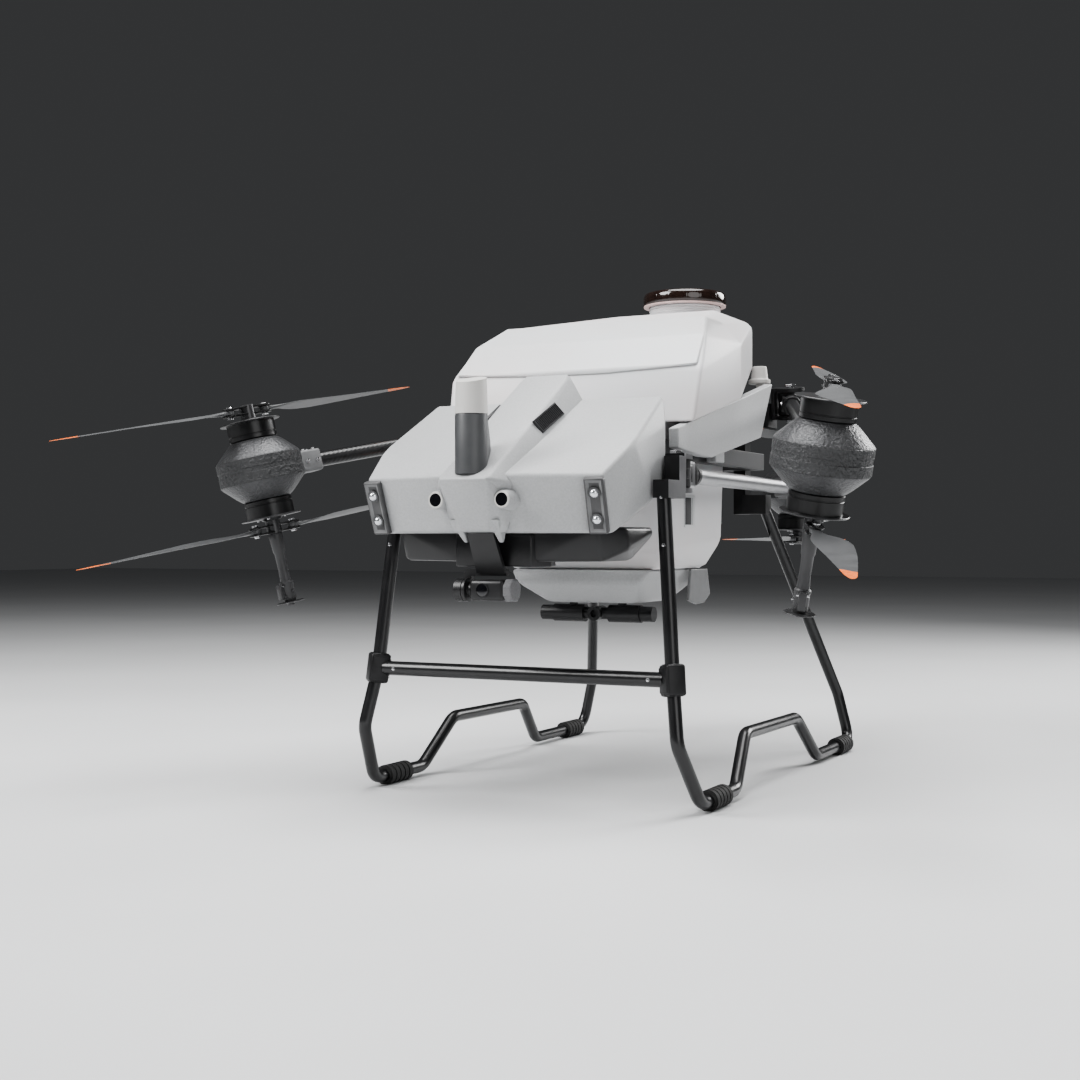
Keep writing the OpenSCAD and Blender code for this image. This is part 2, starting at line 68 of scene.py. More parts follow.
view_from = Vector((1.0678, -2.4706, 0.3922))
view_dir = Vector((-0.4501, 0.8930, -0.0003))
cam_data = bpy.data.cameras.new("studio_camera")
cam_data.sensor_width = 36
cam_data.lens = 51.83
cam = bpy.data.objects.new("studio_camera", cam_data)
cam.matrix_world = Matrix.Translation(view_from) @ view_dir.to_track_quat("-Z", "Y").to_matrix().to_4x4()
scene.collection.objects.link(cam)
scene.camera = cam


def area_light(name, at, aim, size, watts, tint=(1, 1, 1)):
    data = bpy.data.lights.new(name, "AREA")
    data.shape = "DISK"
    data.size = size
    data.energy = watts
    data.color = tint
    lamp = bpy.data.objects.new(name, data)
    lamp.location = at
    lamp.rotation_euler = (Vector(aim) - Vector(at)).to_track_quat("-Z", "Y").to_euler()
    scene.collection.objects.link(lamp)


area_light("key_light", (-2.4, -2.6, 3.0), (0, 0, 0.4), 2.4, 190)
area_light("top_light", (0.2, -0.2, 3.4), (0, 0, 0.4), 3.0, 165)
area_light("fill_light", (3.0, -2.6, 1.5), (0, 0, 0.4), 2.6, 34)
area_light("rim_light", (1.8, 3.0, 2.0), (0.2, 0, 0.5), 1.8, 95)

world = bpy.data.worlds.new("studio_air")
world.use_nodes = True
world.node_tree.nodes["Background"].inputs[0].default_value = (0.10, 0.102, 0.105, 1)
world.node_tree.nodes["Background"].inputs[1].default_value = 0.5
scene.world = world
scene.view_settings.view_transform = "AgX"
scene.view_settings.look = "AgX - Medium High Contrast"

# ---------------------------------------------------------------- finishes


class Finish:
    """Builds one node material: a base colour with mottling, and layers of relief."""

    def __init__(self, name, color, rough=0.5, metal=0.0, mottle=0.08, mottle_size=60, rough_vary=0.12):
        self.mat = bpy.data.materials.new(name)
        self.mat.use_nodes = True
        self.tree = self.mat.node_tree
        self.shader = self.tree.nodes["Principled BSDF"]
        self.shader.inputs["Metallic"].default_value = metal
        self.coords = self.tree.nodes.new("ShaderNodeTexCoord")
        self.relief = None
        clouds = self.noise(mottle_size, 4)
        ramp = self.tree.nodes.new("ShaderNodeValToRGB")
        ramp.color_ramp.elements[0].position = 0.3
        ramp.color_ramp.elements[1].position = 0.7
        ramp.color_ramp.elements[0].color = [c * (1 - mottle) for c in color] + [1]
        ramp.color_ramp.elements[1].color = [min(1, c * (1 + mottle)) for c in color] + [1]
        self.ramp = ramp
        self.link(clouds.outputs["Fac"], ramp.inputs["Fac"])
        self.link(ramp.outputs["Color"], self.shader.inputs["Base Color"])
        span = self.tree.nodes.new("ShaderNodeMapRange")
        span.inputs["To Min"].default_value = max(0.03, rough - rough_vary / 2)
        span.inputs["To Max"].default_value = min(1, rough + rough_vary / 2)
        self.link(clouds.outputs["Fac"], span.inputs["Value"])
        self.link(span.outputs["Result"], self.shader.inputs["Roughness"])

    def link(self, a, b):
        self.tree.links.new(a, b)

    def set(self, **values):
        for key, value in values.items():
            self.shader.inputs[key.replace("_", " ")].default_value = value
        return self

    def noise(self, size, detail=3):
        node = self.tree.nodes.new("ShaderNodeTexNoise")
        node.inputs["Scale"].default_value = size
        node.inputs["Detail"].default_value = detail
        self.link(self.coords.outputs["Object"], node.inputs["Vector"])
        return node

    def bump(self, out, strength, depth):
        node = self.tree.nodes.new("ShaderNodeBump")
        node.inputs["Strength"].default_value = strength
        node.inputs["Distance"].default_value = depth
        self.link(out, node.inputs["Height"])
        if self.relief:
            self.link(self.relief.outputs["Normal"], node.inputs["Normal"])
        self.link(node.outputs["Normal"], self.shader.inputs["Normal"])
        self.relief = node
        return self

    def grain(self, size, strength, depth=0.0004, detail=3):
        return self.bump(self.noise(size, detail).outputs["Fac"], strength, depth)

    def bands(self, turn, pitch, strength, depth):
        place = self.tree.nodes.new("ShaderNodeMapping")
        place.inputs["Rotation"].default_value = turn
        wave = self.tree.nodes.new("ShaderNodeTexWave")
        wave.bands_direction = "X"
        wave.inputs["Scale"].default_value = 2 * math.pi / 20 / pitch
        self.link(self.coords.outputs["Object"], place.inputs["Vector"])
        self.link(place.outputs["Vector"], wave.inputs["Vector"])
        return self.bump(wave.outputs["Fac"], strength, depth)


shell_grey = Finish("shell_grey", (0.40, 0.405, 0.41), 0.5, mottle=0.07, mottle_size=340).grain(520, 0.6,
    0.0004).grain(60, 0.14, 0.0006).set(Coat_Weight=0.05).mat
radome_white = Finish("radome_white", (0.58, 0.57, 0.55), 0.5, mottle=0.03, mottle_size=14).grain(380, 0.3,
    0.0003).mat
tank_white = Finish("tank_white", (0.74, 0.735, 0.735), 0.42, mottle=0.03, mottle_size=5).grain(22, 0.35,
    0.0012, 5).grain(300, 0.18, 0.0003).set(
    Subsurface_Weight=0.35, Subsurface_Radius=(0.03, 0.025, 0.025), Subsurface_Scale=0.6)
# a faint warm and cool cast over the milky tank wall
tank_white.ramp.color_ramp.elements[0].color = (0.64, 0.605, 0.60, 1)
tank_white.ramp.color_ramp.elements[1].color = (0.63, 0.64, 0.655, 1)
tank_white = tank_white.mat
satin_black = Finish("satin_black", (0.016, 0.016, 0.017), 0.38, mottle=0.2).grain(500, 0.2, 0.0002).mat
tray_black = Finish("tray_black", (0.014, 0.014, 0.015), 0.33, mottle=0.2, mottle_size=20).grain(260, 0.35,
    0.0004).mat
frame_grey = Finish("frame_grey", (0.055, 0.056, 0.058), 0.5, mottle=0.15).grain(420, 0.35, 0.0003).mat
guard_grey = Finish("guard_grey", (0.19, 0.192, 0.195), 0.46, mottle=0.1).grain(400, 0.35, 0.0003).mat
forged_black = Finish("forged_black", (0.02, 0.02, 0.021), 0.42, metal=0.35, mottle=0.2).grain(300, 0.4,
    0.0004).mat
tube_black = Finish("tube_black", (0.011, 0.011, 0.012), 0.3, mottle=0.25, mottle_size=30).grain(240, 0.35,
    0.0004).set(Coat_Weight=0.3, Coat_Roughness=0.25).mat
carbon = Finish("carbon_twill", (0.013, 0.013, 0.014), 0.34, mottle=0.3,
    mottle_size=300).bands((0, 0, 0.9), 0.005, 0.4, 0.0004).bands((0.9, 0, -0.7), 0.005, 0.4,
    0.0004).set(Coat_Weight=0.4, Coat_Roughness=0.15).mat
bright_steel = Finish("bright_steel", (0.62, 0.62, 0.63), 0.22, metal=1.0, mottle=0.05).grain(600, 0.1,
    0.0001).mat
pad_rubber = Finish("pad_rubber", (0.018, 0.018, 0.018), 0.72, mottle=0.3, mottle_size=120).grain(500, 0.5,
    0.0004).mat
cap_brown = Finish("cap_brown", (0.018, 0.010, 0.008), 0.14, mottle=0.2).grain(40, 0.05,
    0.0004).set(Coat_Weight=0.6, Coat_Roughness=0.06).mat
gasket_pink = Finish("gasket_pink", (0.55, 0.42, 0.40), 0.4, mottle=0.1).grain(200, 0.2, 0.0003).mat
lamp_grey = Finish("lamp_grey", (0.075, 0.075, 0.077), 0.42, mottle=0.12).grain(420, 0.35, 0.0003).mat
lens_glass = Finish("lens_glass", (0.75, 0.77, 0.8), 0.08, metal=0.75, mottle=0.04).grain(90, 0.1,
    0.0004).set(Coat_Weight=1.0, Coat_Roughness=0.03).mat
lens_dark = Finish("lens_dark", (0.006, 0.006, 0.008), 0.08, mottle=0.2).grain(80, 0.03,
    0.0002).set(Coat_Weight=1.0, Coat_Roughness=0.03).mat
cast_grey = Finish("cast_grey", (0.062, 0.063, 0.065), 0.42, metal=0.3, mottle=0.18,
    mottle_size=260).grain(190, 1.0, 0.004, 4).grain(620, 0.5, 0.0006).mat
cone_grey = Finish("cone_grey", (0.082, 0.083, 0.086), 0.34, metal=0.35, mottle=0.14,
    mottle_size=260).grain(230, 0.8, 0.002, 3).grain(620, 0.4, 0.0005).mat
bell_black = Finish("bell_black", (0.009, 0.009, 0.0095), 0.3, mottle=0.2).grain(500, 0.15, 0.0002).mat
flange_grey = Finish("flange_grey", (0.07, 0.07, 0.072), 0.32, metal=0.5, mottle=0.1).grain(400, 0.15,
    0.0002).mat
blade_grey = Finish("blade_grey", (0.10, 0.102, 0.105), 0.42, mottle=0.1, mottle_size=30).grain(340, 0.3,
    0.0003).bands((0, 0, 0.5), 0.004, 0.06, 0.0003).mat
tip_orange = Finish("tip_orange", (0.85, 0.20, 0.045), 0.45, mottle=0.06, mottle_size=60).grain(340, 0.25,
    0.0003).mat
nozzle_grey = Finish("nozzle_grey", (0.045, 0.045, 0.047), 0.4, mottle=0.12).grain(380, 0.3, 0.0003).mat
brushed_silver = Finish("brushed_silver", (0.42, 0.42, 0.43), 0.3, metal=0.9, mottle=0.08,
    mottle_size=40).bands((0, math.pi / 2, 0), 0.0016, 0.12, 0.0002).grain(500, 0.15, 0.0002).mat
speckled_grey = Finish("speckled_grey", (0.15, 0.15, 0.155), 0.5, mottle=0.35, mottle_size=700).grain(600,
    0.4, 0.0003).mat
grille_dark = Finish("grille_dark", (0.028, 0.028, 0.03), 0.42, mottle=0.2).grain(400, 0.2, 0.0002).mat
# painted shade: this dark colour on the flank slot stands for the shadowed inside of the opening
slot_painted_shade = Finish("slot_painted_shade", (0.03, 0.03, 0.032), 0.6, mottle=0.2).grain(300, 0.2, 0.0003).mat
mast_grey = Finish("mast_grey", (0.075, 0.077, 0.08), 0.42, mottle=0.1, mottle_size=30).grain(360, 0.3,
    0.0004).mat
floor_pale = Finish("floor_pale", (0.66, 0.665, 0.67), 0.6, mottle=0.02, mottle_size=1.5).grain(60, 0.05,
    0.0004).mat


# front arm tubes: dark carbon like the rear arms, but coloured bright silver-metallic as painted highlight
# for the strong light on them; the ribs are the carbon weave in relief
def ribbed(name, yaw):
    return Finish(name, (0.40, 0.40, 0.41), 0.34, metal=0.85, mottle=0.08).bands(
        (0, 0, -yaw), 0.0042, 0.55, 0.0009).grain(500, 0.15, 0.0002).mat


# ---------------------------------------------------------------- making pieces

MM = 0.001


def settle(bm, name, mats, body, nodes=(), bevel=0.0, segments=2, smooth=35, at=None):
    """Turns a bmesh in millimetres into a finished piece that rides on a body."""
    if at is not None:
        bmesh.ops.transform(bm, matrix=at, verts=bm.verts)
    bmesh.ops.scale(bm, vec=(MM, MM, MM), verts=bm.verts)
    bmesh.ops.remove_doubles(bm, verts=bm.verts, dist=0.000002)
    bmesh.ops.recalc_face_normals(bm, faces=bm.faces)
    me = bpy.data.meshes.new(name)
    bm.to_mesh(me)
    bm.free()
    for mat in (mats if isinstance(mats, (list, tuple)) else [mats]):
        me.materials.append(mat)
    me.polygons.foreach_set("use_smooth", [True] * len(me.polygons))
    me.set_sharp_from_angle(angle=math.radians(smooth))
    ob = bpy.data.objects.new(name, me)
    scene.collection.objects.link(ob)
    if bevel:
        mod = ob.modifiers.new("soft_edges", "BEVEL")
        mod.width = bevel * MM
        mod.segments = segments
        mod.limit_method = "ANGLE"
        mod.angle_limit = math.radians(32)
        mod.harden_normals = False
        mod.use_clamp_overlap = True
    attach(ob, body)
    if nodes:
        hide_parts(*([nodes] if isinstance(nodes, str) else nodes))
    return ob


def merge(bm, other, index=None):
    """Adds another bmesh into bm, with its faces on a material index."""
    if index is not None:
        for f in other.faces:
            f.material_index = index
    me = bpy.data.meshes.new("work")
    other.to_mesh(me)
    other.free()
    bm.from_mesh(me)
    bpy.data.meshes.remove(me)
    return bm


def turned(profile, steps=64, at=None):
    """A shape turned about Z from (radius, height) pairs, closed where the radius is 0."""
    bm = bmesh.new()
    verts = [bm.verts.new((r, 0, z)) for r, z in profile]
    edges = [bm.edges.new(pair) for pair in zip(verts, verts[1:])]
    bmesh.ops.spin(bm, geom=verts + edges, cent=(0, 0, 0), axis=(0, 0, 1), angle=2 * math.pi,
                   steps=steps, use_merge=True)
    bmesh.ops.remove_doubles(bm, verts=bm.verts, dist=0.001)
    if at is not None:
        bmesh.ops.transform(bm, matrix=at, verts=bm.verts)
    return bm


def block(size, at=(0, 0, 0), turn=None, bevel=0.0, segments=2):
    bm = bmesh.new()
    bmesh.ops.create_cube(bm, size=1)
    bmesh.ops.scale(bm, vec=size, verts=bm.verts)
    if bevel:
        bmesh.ops.bevel(bm, geom=bm.edges[:], offset=bevel, segments=segments, affect="EDGES",
                        profile=0.5, material=-1, clamp_overlap=True)
    if turn is not None:
        bmesh.ops.transform(bm, matrix=turn, verts=bm.verts)
    bmesh.ops.translate(bm, vec=at, verts=bm.verts)
    return bm


def drum(radius, height, at=None, sides=48, bevel=0.0, top=None, segments=2):
    """An upright cylinder or cone on z = 0."""
    bm = bmesh.new()
    bmesh.ops.create_cone(bm, cap_ends=True, segments=sides, radius1=radius,
                          radius2=radius if top is None else top, depth=height)
    bmesh.ops.translate(bm, vec=(0, 0, height / 2), verts=bm.verts)
    if bevel:
        rims = [e for e in bm.edges if abs(e.verts[0].co.z - e.verts[1].co.z) < 1e-4]
        bmesh.ops.bevel(bm, geom=rims, offset=bevel, segments=segments, affect="EDGES", profile=0.5,
                        material=-1, clamp_overlap=True)
    if at is not None:
        bmesh.ops.transform(bm, matrix=at, verts=bm.verts)
    return bm


def along(a, b):
    """A matrix with its Z from a towards b."""
    a, b = Vector(a), Vector(b)
    return Matrix.Translation(a) @ (b - a).to_track_quat("Z", "Y").to_matrix().to_4x4()


def wrapped(points, bevel=0.0, segments=3):
    """The convex skin of a list of points, with soft edges."""
    bm = bmesh.new()
    for p in points:
        bm.verts.new(p)
    bmesh.ops.convex_hull(bm, input=bm.verts[:])
    loose = [v for v in bm.verts if not v.link_faces]
    bmesh.ops.delete(bm, geom=loose, context="VERTS")
    bmesh.ops.dissolve_limit(bm, angle_limit=math.radians(1.5), verts=bm.verts[:], edges=bm.edges[:])
    if bevel:
        sharp = [e for e in bm.edges if e.calc_face_angle(0) > math.radians(6)]
        bmesh.ops.bevel(bm, geom=sharp, offset=bevel, segments=segments, affect="EDGES", profile=0.5,
                        material=-1, clamp_overlap=True)
    return bm


def both_sides(points):
    return [Vector(p) for p in points] + [Vector((-p[0], p[1], p[2])) for p in points]


def bent_tube(points, radius, bend, sides=28, arc=7):
    """A round tube through points, with its corners bent to a radius."""
    pts = [Vector(p) for p in points]
    path = [pts[0]]
    for before, here, after in zip(pts, pts[1:], pts[2:]):
        u, v = (before - here).normalized(), (after - here).normalized()
        half = u.angle(v) / 2
        cut = min(bend / math.tan(half), (before - here).length * 0.48, (after - here).length * 0.48)
        a, b = here + u * cut, here + v * cut
        for i in range(arc + 1):
            t = i / arc
            path.append(a.lerp(here, t).lerp(here.lerp(b, t), t))
    path.append(pts[-1])
    bm = bmesh.new()
    heading = (path[1] - path[0]).normalized()
    ring = bmesh.ops.create_circle(bm, cap_ends=False, radius=radius, segments=sides)["verts"]
    bmesh.ops.transform(bm, matrix=along(path[0], path[0] + heading), verts=ring)
    edges = bm.edges[:]
    bmesh.ops.edgeloop_fill(bm, edges=edges)
    for i in range(1, len(path)):
        step = bmesh.ops.extrude_edge_only(bm, edges=edges)["geom"]
        verts = [g for g in step if isinstance(g, bmesh.types.BMVert)]
        edges = [g for g in step if isinstance(g, bmesh.types.BMEdge) and all(v in verts for v in g.verts)]
        before = heading
        into = (path[i] - path[i - 1]).normalized()
        after = (path[i + 1] - path[i]).normalized() if i + 1 < len(path) else into
        heading = (into + after).normalized()
        turn = before.rotation_difference(heading).to_matrix().to_4x4()
        move = Matrix.Translation(path[i]) @ turn @ Matrix.Translation(-path[i - 1])
        bmesh.ops.transform(bm, matrix=move, verts=verts)
    bmesh.ops.edgeloop_fill(bm, edges=edges)
    return bm


def mirrored(bm):
    bmesh.ops.mirror(bm, geom=bm.verts[:] + bm.edges[:] + bm.faces[:], axis="X", merge_dist=0.0001)
    return bm


def refined(node, mats, bevel=1.2, segments=2):
    """A machined version of a CAD node: its own shape, welded, with its edges broken."""
    source = frame["nodes"][node]
    bm = bmesh.new()
    bm.from_mesh(source.data)
    bmesh.ops.remove_doubles(bm, verts=bm.verts, dist=0.00001)
    bmesh.ops.dissolve_limit(bm, angle_limit=math.radians(0.8), verts=bm.verts[:], edges=bm.edges[:])
    bmesh.ops.scale(bm, vec=(1000, 1000, 1000), verts=bm.verts)
    return settle(bm, node + "_finished", mats, body_of(source)[0], node, bevel, segments)


def hex_bolt(radius, height, at):
    bm = drum(radius, height, sides=6, bevel=height * 0.15)
    merge(bm, drum(radius * 1.25, height * 0.2, sides=24))
    bmesh.ops.transform(bm, matrix=at, verts=bm.verts)
    return bm


def turn(x, y, z):
    """Turns about X, then Y, then Z, in degrees."""
    x, y, z = (math.radians(v) for v in (x, y, z))
    return Matrix.Rotation(z, 4, "Z") @ Matrix.Rotation(y, 4, "Y") @ Matrix.Rotation(x, 4, "X")


mirror_x = Matrix.Diagonal((-1, 1, 1, 1))

# ---------------------------------------------------------------- floor

floor = bmesh.new()
bmesh.ops.create_grid(floor, x_segments=4, y_segments=4, size=14)
floor_me = bpy.data.meshes.new("studio_floor")
floor.to_mesh(floor_me)
floor.free()
floor_me.materials.append(floor_pale)
floor_ob = bpy.data.objects.new("studio_floor", floor_me)
scene.collection.objects.link(floor_ob)

# ---------------------------------------------------------------- arms, pods and rotors

ARM = 752
hinges = {"front": Vector((205, -312, 490)), "rear": Vector((202, 260, 640))}
poses = {"front": (0, 0, 93.4), "rear": (-7.35, 10.35, -69.15)}
tilts = {"front": (0, 0, 0), "rear": (9.8, 1.1, 0)}
blade_angles = {
    ("front_left", "upper"): (-0.5, 180), ("front_right", "upper"): (-0.5, 180),
    ("front_left", "lower"): (3, 189), ("front_right", "lower"): (3, 189),
    ("rear_left", "upper"): (3, 180), ("rear_left", "lower"): (-5, 165),
    ("rear_right", "upper"): (0, 180), ("rear_right", "lower"): (-4, 191)}

POD_R, POD_H, CONE_H = 69, 41, 28
BELL_Z = POD_H / 2 + CONE_H + 0.4
BELL_R, BELL_H, FLANGE_R = 38.5, 28, 48.5
FLANGE_Z = BELL_Z + BELL_H
YOKE_Z = FLANGE_Z + 13.5
YOKE_TOP = YOKE_Z + 13.8
BLADE_Z = YOKE_Z + 6.9
FOLD_R = 32


def pod_frame(name):
    end, side = name.split("_")
    m = Matrix.Translation(hinges[end]) @ turn(*poses[end]) @ Matrix.Translation((ARM, 0, 0))
    return mirror_x @ m if side == "left" else m


def pod(name):
    bm = turned([(0, -20), (POD_R - 2, -POD_H / 2), (POD_R, -POD_H / 2 + 2), (POD_R, -4), (POD_R - 0.8, -3.2),
                 (POD_R - 0.8, 3.2), (POD_R, 4), (POD_R, POD_H / 2 - 2), (POD_R - 2, POD_H / 2), (0, 20)], 96)
    for up in (1, -1):
        h = POD_H / 2
        cone = turned([(0, up * (h - 1)), (POD_R - 1.4, up * (h - 0.5)), (POD_R - 3.2, up * (h + 2)),
                       (BELL_R + 8, up * (h + CONE_H - 7)), (BELL_R + 2.5, up * (h + CONE_H - 2.5)),
                       (BELL_R - 1, up * (h + CONE_H)), (0, up * (h + CONE_H))], 96)
        merge(bm, cone, 1)
    merge(bm, block((46, 38, 36), (-86, 0, 0), bevel=4, segments=3), 2)
    merge(bm, block((6, 44, 42), (-66, 0, 0), bevel=2), 2)
    for s in (-1, 1):
        for x in (-100, -80):
            merge(bm, hex_bolt(3.2, 3, along((x, 10 * s, 18), (x, 10 * s, 30))), 3)
            merge(bm, hex_bolt(3.2, 3, along((x, 19 * s, 0), (x, 40 * s, 0))), 3)
    return settle(bm, "pod_casting_" + name, [cast_grey, cone_grey, guard_grey, bright_steel], "arm_" + name,
                  "pod_" + name, bevel=0.0, smooth=30, at=pod_frame(name))


def rotor(name, level):
    bm = turned([(0, BELL_Z), (BELL_R - 2, BELL_Z), (BELL_R, BELL_Z + 1.5), (BELL_R, BELL_Z + 7),
                 (BELL_R - 0.7, BELL_Z + 7.6), (BELL_R - 0.7, BELL_Z + 8.6), (BELL_R, BELL_Z + 9.2),
                 (BELL_R, FLANGE_Z - 0.5), (BELL_R, FLANGE_Z), (0, FLANGE_Z)], 96)
    merge(bm, turned([(0, FLANGE_Z), (FLANGE_R - 1, FLANGE_Z), (FLANGE_R, FLANGE_Z + 0.8),
        (FLANGE_R, FLANGE_Z + 1.7),
                      (FLANGE_R - 1, FLANGE_Z + 2.5), (18, FLANGE_Z + 3), (15, FLANGE_Z + 6),
                      (12, FLANGE_Z + 7),
                      (12, YOKE_TOP + 1), (9, YOKE_TOP + 2.4), (0, YOKE_TOP + 2.4)], 72), 1)
    for a in blade_angles[(name, level)]:
        arm = Matrix.Rotation(math.radians(a), 4, "Z")
        for z in (YOKE_Z, YOKE_TOP - 3):
            plate = block((FOLD_R, 22, 3), (FOLD_R / 2, 0, z + 1.5), bevel=0.8)
            merge(plate, drum(11.5, 3, Matrix.Translation((FOLD_R, 0, z)), sides=40, bevel=0.7))
            bmesh.ops.transform(plate, matrix=arm, verts=plate.verts)
            merge(bm, plate, 0)
        for z, h in ((YOKE_TOP, 3.4), (YOKE_Z - 3.4, 3.4)):
            bolt = hex_bolt(4.6, h, Matrix.Translation((FOLD_R, 0, z)))
            bmesh.ops.transform(bolt, matrix=arm, verts=bolt.verts)
            merge(bm, bolt, 2)
    for i in range(4):
        a = math.radians(45 + 90 * i)
        merge(bm, hex_bolt(2.4, 2.2, Matrix.Translation((22 * math.cos(a), 22 * math.sin(a),
            FLANGE_Z + 2.6))), 2)
    at = pod_frame(name)
    if level == "lower":
        at = at @ Matrix.Rotation(math.pi, 4, "X")
    return settle(bm, "motor_" + name + "_" + level, [bell_black, flange_grey, bright_steel],
                  "rotor_" + name + "_" + level, "rotor_" + name + "_" + level, smooth=30, at=at)


# along the blade: (distance from the fold bolt, leading edge, trailing edge, thickness, pitch in degrees)
blade_stations = [(9, 7.5, -7.5, 6.6, 1), (22, 8, -8, 6, 3), (34, 10.5, -13, 5.2, 6), (48, 13.5, -20, 4.4, 9),
                  (64, 15, -26, 3.8, 10), (84, 15, -31, 3.5, 9.5), (108, 14, -33.5, 3.2, 9),
                  (140, 12.4, -31, 2.9, 8),
                  (176, 10.6, -27, 2.6, 7), (210, 9.2, -21.5, 2.3, 6), (238, 8.2, -17, 2.0, 5.5),
                  (262, 7.2, -12.5, 1.8, 5), (282, 6.2, -9.2, 1.5, 5), (294, 4.6, -6.6, 1.2, 5),
                  (301.8, 1.6, -2.4, 0.7, 5)]
TIP_FROM = 255


def blade(name, level, number):
    bm = bmesh.new()
    ring = bmesh.ops.create_circle(bm, cap_ends=False, radius=1, segments=18)["verts"]
    unit = [v.co.copy() for v in ring]
    verts, edges = list(ring), bm.edges[:]
    bmesh.ops.edgeloop_fill(bm, edges=edges)
    for i, (x, lead, trail, thick, pitch) in enumerate(blade_stations):
        if i:
            step = bmesh.ops.extrude_edge_only(bm, edges=edges)["geom"]
            verts = [g for g in step if isinstance(g, bmesh.types.BMVert)]
            edges = [g for g in step if isinstance(g,
                bmesh.types.BMEdge) and all(v in verts for v in g.verts)]
        half, mid = (lead - trail) / 2, (lead + trail) / 2
        flat = min(1, max(0, (x - 22) / 40))
        spin = Matrix.Rotation(math.radians(pitch), 3, "X")
        for v, u in zip(verts, unit):
            y = u.x * half + mid
            taper = 1 - flat * 0.72 * (0.5 - 0.5 * u.x)
            camber = flat * 0.055 * half * (1 - u.x * u.x)
            v.co = Vector((x, 0, 0)) + spin @ Vector((0, y, u.y * thick / 2 * taper + camber))
    bmesh.ops.edgeloop_fill(bm, edges=edges)
    bm.normal_update()
    # a diagonal cut marks the painted tip, and a second cut crosses the blade 45 mm further in
    bmesh.ops.bisect_plane(bm, geom=bm.verts[:] + bm.edges[:] + bm.faces[:], plane_co=(TIP_FROM, 0, 0),
                           plane_no=Vector((1, 0.75, 0)).normalized())
    bmesh.ops.bisect_plane(bm, geom=bm.verts[:] + bm.edges[:] + bm.faces[:],
        plane_co=(TIP_FROM - 45, 0, 0), plane_no=(1, 0, 0))
    for f in bm.faces:
        c = f.calc_center_median()
        if (c.x - TIP_FROM) + 0.75 * c.y > 0:
            f.material_index = 1
    merge(bm, drum(8.3, 6.8, Matrix.Translation((0, 0, -3.4)), sides=40, bevel=0.6), 0)
    merge(bm, block((14, 14, 6), (7, 0, 0), bevel=1.2), 0)
    at = pod_frame(name)
    if level == "lower":
        at = at @ Matrix.Rotation(math.pi, 4, "X")
    at = at @ Matrix.Rotation(math.radians(blade_angles[(name, level)][number - 1]), 4,
        "Z") @ Matrix.Translation((FOLD_R, 0, BLADE_Z))
    piece = "blade_" + name + "_" + level + "_" + str(number)
    return settle(bm, "airfoil_" + name + "_" + level + "_" + str(number), [blade_grey, tip_orange], piece,
        piece, smooth=50, at=at)


def arm(name):
    end, side = name.split("_")
    bm = bmesh.new()
    frame_at = turn(*poses[end])
    tube_to = ARM - 69 - 46 / 2 + 6 - 4
    tube = bent_tube([(86 if end == "front" else 14, 0, 0), (tube_to, 0, 0)], 12.5, 1, 40, 1)
    merge(bm, tube, 0)
    to_x = Matrix.Rotation(math.pi / 2, 4, "Y")
    if end == "front":
        merge(bm, block((46, 34, 40), (27, 0, 0), bevel=4, segments=4), 3)
        merge(bm, block((11, 36, 32), (52, 0, 0), bevel=2.5, segments=3), 1)
        merge(bm, turned([(0, 56), (15, 56), (16, 57), (16, 68), (13, 69), (13, 75), (15.5, 76),
            (15.5, 87), (14.5, 88), (0, 88)], 48, to_x), 1)
        for s in (-1, 1):
            merge(bm, block((9, 1.6, 27), (26, 16.9 * s, 0), bevel=0.5), 3)
            merge(bm, block((6, 2, 24), (26, 17.2 * s, 0), bevel=0.5), 1)
    else:
        merge(bm, turned([(0, 20), (16.5, 20), (17, 21), (17, 30), (15.6, 31), (15.6, 35), (17, 36),
            (17, 50.5), (16, 52), (0, 52)], 48, to_x), 1)
        for s in (-1, 1):
            merge(bm, block((26, 6, 26), (36, 15 * s, 0), bevel=1.5), 1)
            for x in (29, 43):
                merge(bm, hex_bolt(2.6, 2.4, along((x, 17.6 * s, 0), (x, 40 * s, 0))), 2)
    bmesh.ops.transform(bm, matrix=frame_at, verts=bm.verts)
    knuckle = turned([(0, -21), (21.5, -21), (23, -19.5), (23, -8), (22, -7), (22, 7), (23, 8), (23, 19.5),
        (21.5, 21), (0, 21)], 56)
    bmesh.ops.transform(knuckle, matrix=turn(*tilts[end]), verts=knuckle.verts)
    merge(bm, knuckle, 1)
    at = Matrix.Translation(hinges[end])
    yaw = math.radians(93.4)
    if side == "left":
        at = mirror_x @ at
        yaw = math.pi - yaw
    # front arm tubes get the painted-highlight silver colour, rear arm tubes plain carbon
    tube_skin = ribbed("ribbed_carbon_painted_sheen_" + side, yaw) if end == "front" else carbon
    return settle(bm, "arm_tube_" + name, [tube_skin, forged_black, bright_steel, brushed_silver],
        "arm_" + name, "arm_" + name,
                  smooth=35, at=at)


for name in ("front_left", "front_right", "rear_left", "rear_right"):
    arm(name)
    pod(name)
    for level in ("upper", "lower"):
        rotor(name, level)
        for number in (1, 2):
            blade(name, level, number)

# ---------------------------------------------------------------- spray nozzles

ROD_TOP = -YOKE_TOP - 1.5
DISC_Z = ROD_TOP - 112

